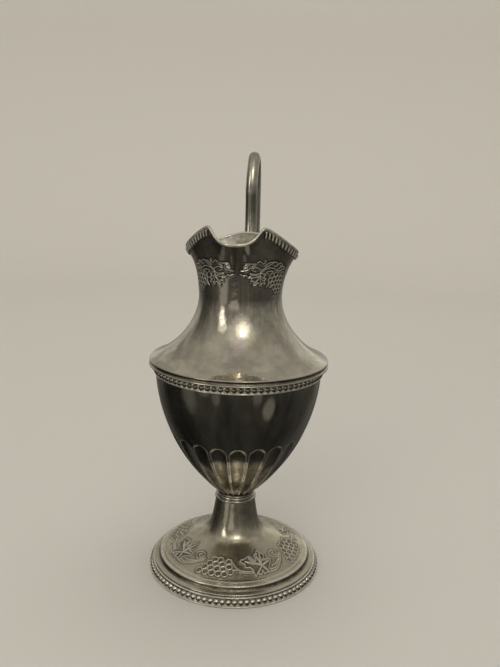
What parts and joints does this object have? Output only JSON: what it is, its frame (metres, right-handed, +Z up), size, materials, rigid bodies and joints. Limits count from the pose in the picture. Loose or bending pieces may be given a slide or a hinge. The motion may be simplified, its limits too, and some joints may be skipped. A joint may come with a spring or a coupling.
{
  "type": "pedestal creamer",
  "caption": "Silver-plated pedestal creamer with a fluted bowl, waisted chased neck, wavy ribbed pouring rim and tall loop handle on a round beaded foot.",
  "frame": {"origin": "centre of the foot's round base, on the surface it stands on", "axes": "+Z up along the jug's axis, -Y towards the spout, +Y towards the handle"},
  "size_m": [0.0704, 0.0718, 0.1677],
  "materials": {
    "plain_plate": "polished silver plate, lightly tarnished",
    "chased_plate": "polished silver plate with chased grapevine, tarnished in the lines",
    "fluted_plate": "polished silver plate with flutes, tarnished in the grooves",
    "beaded_wire": "die-struck silver plate, dark between the beads and ribs"
  },
  "bodies": {
    "root": {"foot_base_ring": "plain_plate", "foot_bead_border": "beaded_wire", "foot_shell": "chased_plate", "stem_collar": "plain_plate", "bowl": "fluted_plate", "bowl_bead_band": "beaded_wire", "upper_body": "chased_plate", "rim_wire": "plain_plate", "rim_border": "beaded_wire", "handle": "plain_plate"}
  },
  "joints": []
}
